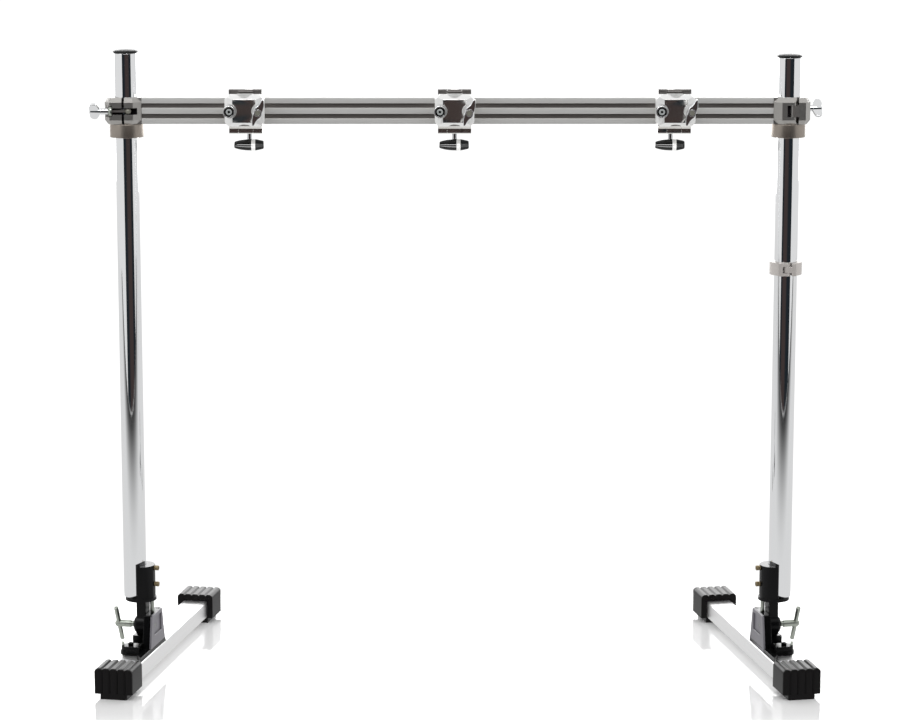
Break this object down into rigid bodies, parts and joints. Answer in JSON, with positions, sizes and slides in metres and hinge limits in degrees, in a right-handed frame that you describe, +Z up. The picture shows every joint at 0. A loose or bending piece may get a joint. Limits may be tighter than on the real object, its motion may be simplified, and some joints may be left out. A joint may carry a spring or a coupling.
{
  "type": "drum rack frame",
  "caption": "Free-standing rack frame: grooved aluminium crossbar between chrome posts, hinged end clamps, sliding pipe clamps and folding leg bases on rubber feet.",
  "frame": {"origin": "on the floor, at the middle of the frame's outline seen from above", "axes": "+X along the crossbar to the right as seen from the front, +Y to the back, +Z up"},
  "size_m": [1.2114, 0.5546, 1.0576],
  "materials": {
    "chrome": "mirror bright",
    "cast_aluminium": "satin cast",
    "polished_aluminium": "polished",
    "anodised_aluminium": "satin anodised",
    "nickel": "satin nickel plate",
    "zinc": "bright zinc plate",
    "bronze": "satin",
    "black_enamel": "gloss",
    "black_plastic": "satin",
    "black_rubber": "matt"
  },
  "bodies": {
    "bar": {"cross_bar": "anodised_aluminium", "left_end_casting": "cast_aluminium", "right_end_casting": "cast_aluminium"},
    "left_collar": {"left_stop_collar": "nickel"},
    "left_upright": {"left_post": "chrome", "left_post_cap": "black_plastic", "left_post_saddle": "black_enamel", "left_saddle_bolt_lower": "bronze", "left_saddle_bolt_upper": "bronze"},
    "left_leg": {"left_tilt_bracket": "black_enamel", "left_floor_bar": "polished_aluminium", "left_front_foot": "black_rubber", "left_rear_foot": "black_rubber"},
    "left_dome": {"left_dome_washer": "black_enamel"},
    "left_lever": {"left_tilt_bolt": "zinc"},
    "left_spur": {"left_spur_screw": "zinc"},
    "left_jaw": {"left_clamp_jaw": "cast_aluminium"},
    "left_swing": {"left_swing_bolt": "zinc"},
    "left_washer": {"left_bolt_washer": "zinc"},
    "left_nut": {"left_wing_nut": "chrome"},
    "right_collar": {"right_stop_collar": "nickel"},
    "right_upright": {"right_post": "chrome", "right_post_cap": "black_plastic", "right_post_saddle": "black_enamel", "right_saddle_bolt_lower": "bronze", "right_saddle_bolt_upper": "bronze"},
    "right_leg": {"right_tilt_bracket": "black_enamel", "right_floor_bar": "polished_aluminium", "right_front_foot": "black_rubber", "right_rear_foot": "black_rubber"},
    "right_dome": {"right_dome_washer": "black_enamel"},
    "right_lever": {"right_tilt_bolt": "zinc"},
    "right_spur": {"right_spur_screw": "zinc"},
    "right_jaw": {"right_clamp_jaw": "cast_aluminium"},
    "right_swing": {"right_swing_bolt": "zinc"},
    "right_washer": {"right_bolt_washer": "zinc"},
    "right_nut": {"right_wing_nut": "chrome"},
    "memory_band": {"memory_collar_band": "nickel"},
    "memory_gate": {"memory_collar_gate": "nickel"},
    "clamp1": {"clamp1_body": "polished_aluminium"},
    "clamp1_top": {"clamp1_upper_jaw": "polished_aluminium"},
    "clamp1_lever": {"clamp1_lock_bolt": "chrome", "clamp1_lock_handle": "black_plastic"},
    "clamp1_pipe": {"clamp1_pipe_jaw": "polished_aluminium", "clamp1_socket_bolt": "chrome"},
    "clamp1_nut": {"clamp1_lever_nut": "chrome"},
    "clamp2": {"clamp2_body": "polished_aluminium"},
    "clamp2_top": {"clamp2_upper_jaw": "polished_aluminium"},
    "clamp2_lever": {"clamp2_lock_bolt": "chrome", "clamp2_lock_handle": "black_plastic"},
    "clamp2_pipe": {"clamp2_pipe_jaw": "polished_aluminium", "clamp2_socket_bolt": "chrome"},
    "clamp2_nut": {"clamp2_lever_nut": "chrome"},
    "clamp3": {"clamp3_body": "polished_aluminium"},
    "clamp3_top": {"clamp3_upper_jaw": "polished_aluminium"},
    "clamp3_lever": {"clamp3_lock_bolt": "chrome", "clamp3_lock_handle": "black_plastic"},
    "clamp3_pipe": {"clamp3_pipe_jaw": "polished_aluminium", "clamp3_socket_bolt": "chrome"},
    "clamp3_nut": {"clamp3_lever_nut": "chrome"}
  },
  "joints": [
    {"name": "left_height", "type": "slide", "parent": "bar", "child": "left_collar", "axis": [0, 0, 1], "range_m": [-0.065, 0]},
    {"name": "left_swivel", "type": "hinge", "parent": "left_collar", "child": "left_upright", "pos_m": [-0.5475, -0.08826, 0.92], "axis": [0, 0, 1], "continuous": true},
    {"name": "left_tilt", "type": "hinge", "parent": "left_upright", "child": "left_leg", "pos_m": [-0.5475, -0.08826, 0.08], "axis": [0.9806, -0.1959, 0], "range_deg": [-80, 80]},
    {"name": "left_dome_slide", "type": "slide", "parent": "left_leg", "child": "left_dome", "axis": [-0.9806, 0.1959, 0], "range_m": [0, 0.003]},
    {"name": "left_lever_turn", "type": "hinge", "parent": "left_dome", "child": "left_lever", "pos_m": [-0.5475, -0.08826, 0.08], "axis": [-0.9806, 0.1959, 0], "range_deg": [0, 720]},
    {"name": "left_spur_slide", "type": "slide", "parent": "left_leg", "child": "left_spur", "axis": [0, 0, 1], "range_m": [-0.006, 0.006]},
    {"name": "left_jaw_open", "type": "hinge", "parent": "bar", "child": "left_jaw", "pos_m": [-0.5527, -0.06226, 0.958], "axis": [0, 0, -1], "range_deg": [0, 6]},
    {"name": "left_bolt_swing", "type": "hinge", "parent": "bar", "child": "left_swing", "pos_m": [-0.5419, -0.11416, 0.958], "axis": [0, 0, 1], "range_deg": [0, 100]},
    {"name": "left_washer_slide", "type": "slide", "parent": "left_swing", "child": "left_washer", "axis": [-1, 0, 0], "range_m": [0, 0.00625]},
    {"name": "left_nut_turn", "type": "hinge", "parent": "left_washer", "child": "left_nut", "pos_m": [-0.5419, -0.11416, 0.958], "axis": [-1, 0, 0], "range_deg": [0, 1800]},
    {"name": "right_height", "type": "slide", "parent": "bar", "child": "right_collar", "axis": [0, 0, 1], "range_m": [-0.057, 0]},
    {"name": "right_swivel", "type": "hinge", "parent": "right_collar", "child": "right_upright", "pos_m": [0.5475, -0.08826, 0.92], "axis": [0, 0, 1], "continuous": true},
    {"name": "right_tilt", "type": "hinge", "parent": "right_upright", "child": "right_leg", "pos_m": [0.5475, -0.08826, 0.08], "axis": [-0.9806, -0.1959, 0], "range_deg": [-80, 80]},
    {"name": "right_dome_slide", "type": "slide", "parent": "right_leg", "child": "right_dome", "axis": [0.9806, 0.1959, 0], "range_m": [0, 0.003]},
    {"name": "right_lever_turn", "type": "hinge", "parent": "right_dome", "child": "right_lever", "pos_m": [0.5475, -0.08826, 0.08], "axis": [0.9806, 0.1959, 0], "range_deg": [0, 720]},
    {"name": "right_spur_slide", "type": "slide", "parent": "right_leg", "child": "right_spur", "axis": [0, 0, 1], "range_m": [-0.006, 0.006]},
    {"name": "right_jaw_open", "type": "hinge", "parent": "bar", "child": "right_jaw", "pos_m": [0.5527, -0.11426, 0.958], "axis": [0, 0, -1], "range_deg": [0, 6]},
    {"name": "right_bolt_swing", "type": "hinge", "parent": "bar", "child": "right_swing", "pos_m": [0.5419, -0.06236, 0.958], "axis": [0, 0, 1], "range_deg": [0, 100]},
    {"name": "right_washer_slide", "type": "slide", "parent": "right_swing", "child": "right_washer", "axis": [1, 0, 0], "range_m": [0, 0.00625]},
    {"name": "right_nut_turn", "type": "hinge", "parent": "right_washer", "child": "right_nut", "pos_m": [0.5419, -0.06236, 0.958], "axis": [1, 0, 0], "range_deg": [0, 1800]},
    {"name": "memory_slide", "type": "slide", "parent": "right_upright", "child": "memory_band", "axis": [0, 0, 1], "range_m": [-0.45, 0.2]},
    {"name": "memory_gate_open", "type": "hinge", "parent": "memory_band", "child": "memory_gate", "pos_m": [0.5475, -0.11256, 0.694], "axis": [0, 0, -1], "range_deg": [0, 95]},
    {"name": "clamp1_along_bar", "type": "slide", "parent": "bar", "child": "clamp1", "axis": [1, 0, 0], "range_m": [-0.125, 0.2]},
    {"name": "clamp1_top_open", "type": "hinge", "parent": "clamp1", "child": "clamp1_top", "pos_m": [-0.3484, -0.11626, 0.99], "axis": [1, 0, 0], "range_deg": [0, 4]},
    {"name": "clamp1_lever_turn", "type": "hinge", "parent": "clamp1", "child": "clamp1_lever", "pos_m": [-0.3484, -0.03026, 0.893], "axis": [0, 0, 1], "range_deg": [0, 1440]},
    {"name": "clamp1_pipe_slide", "type": "slide", "parent": "clamp1", "child": "clamp1_pipe", "axis": [0, -1, 0], "range_m": [0, 0.005]},
    {"name": "clamp1_nut_turn", "type": "hinge", "parent": "clamp1_pipe", "child": "clamp1_nut", "pos_m": [-0.3245, -0.17826, 0.9626], "axis": [0, -1, 0], "range_deg": [0, 1440]},
    {"name": "clamp2_along_bar", "type": "slide", "parent": "bar", "child": "clamp2", "axis": [1, 0, 0], "range_m": [-0.15, 0.15]},
    {"name": "clamp2_top_open", "type": "hinge", "parent": "clamp2", "child": "clamp2_top", "pos_m": [-0.005, -0.11626, 0.99], "axis": [1, 0, 0], "range_deg": [0, 4]},
    {"name": "clamp2_lever_turn", "type": "hinge", "parent": "clamp2", "child": "clamp2_lever", "pos_m": [-0.005, -0.03026, 0.893], "axis": [0, 0, 1], "range_deg": [0, 1440]},
    {"name": "clamp2_pipe_slide", "type": "slide", "parent": "clamp2", "child": "clamp2_pipe", "axis": [0, -1, 0], "range_m": [0, 0.005]},
    {"name": "clamp2_nut_turn", "type": "hinge", "parent": "clamp2_pipe", "child": "clamp2_nut", "pos_m": [0.0189, -0.17826, 0.9626], "axis": [0, -1, 0], "range_deg": [0, 1440]},
    {"name": "clamp3_along_bar", "type": "slide", "parent": "bar", "child": "clamp3", "axis": [1, 0, 0], "range_m": [-0.2, 0.1]},
    {"name": "clamp3_top_open", "type": "hinge", "parent": "clamp3", "child": "clamp3_top", "pos_m": [0.3563, -0.11626, 0.99], "axis": [1, 0, 0], "range_deg": [0, 4]},
    {"name": "clamp3_lever_turn", "type": "hinge", "parent": "clamp3", "child": "clamp3_lever", "pos_m": [0.3563, -0.03026, 0.893], "axis": [0, 0, 1], "range_deg": [0, 1440]},
    {"name": "clamp3_pipe_slide", "type": "slide", "parent": "clamp3", "child": "clamp3_pipe", "axis": [0, -1, 0], "range_m": [0, 0.005]},
    {"name": "clamp3_nut_turn", "type": "hinge", "parent": "clamp3_pipe", "child": "clamp3_nut", "pos_m": [0.3802, -0.17826, 0.9626], "axis": [0, -1, 0], "range_deg": [0, 1440]}
  ],
  "couplings": [
    {"joint": "left_jaw_open", "follows": "left_washer_slide", "rad_per_m": 16.75},
    {"joint": "left_nut_turn", "follows": "left_washer_slide", "rad_per_m": 5026.5},
    {"joint": "left_lever_turn", "follows": "left_dome_slide", "rad_per_m": 4188.7},
    {"joint": "right_jaw_open", "follows": "right_washer_slide", "rad_per_m": 16.75},
    {"joint": "right_nut_turn", "follows": "right_washer_slide", "rad_per_m": 5026.5},
    {"joint": "right_lever_turn", "follows": "right_dome_slide", "rad_per_m": 4188.7},
    {"joint": "clamp1_top_open", "follows": "clamp1_lever_turn", "ratio": 0.0027777},
    {"joint": "clamp1_nut_turn", "follows": "clamp1_pipe_slide", "rad_per_m": 5026.5},
    {"joint": "clamp2_top_open", "follows": "clamp2_lever_turn", "ratio": 0.0027777},
    {"joint": "clamp2_nut_turn", "follows": "clamp2_pipe_slide", "rad_per_m": 5026.5},
    {"joint": "clamp3_top_open", "follows": "clamp3_lever_turn", "ratio": 0.0027777},
    {"joint": "clamp3_nut_turn", "follows": "clamp3_pipe_slide", "rad_per_m": 5026.5}
  ]
}
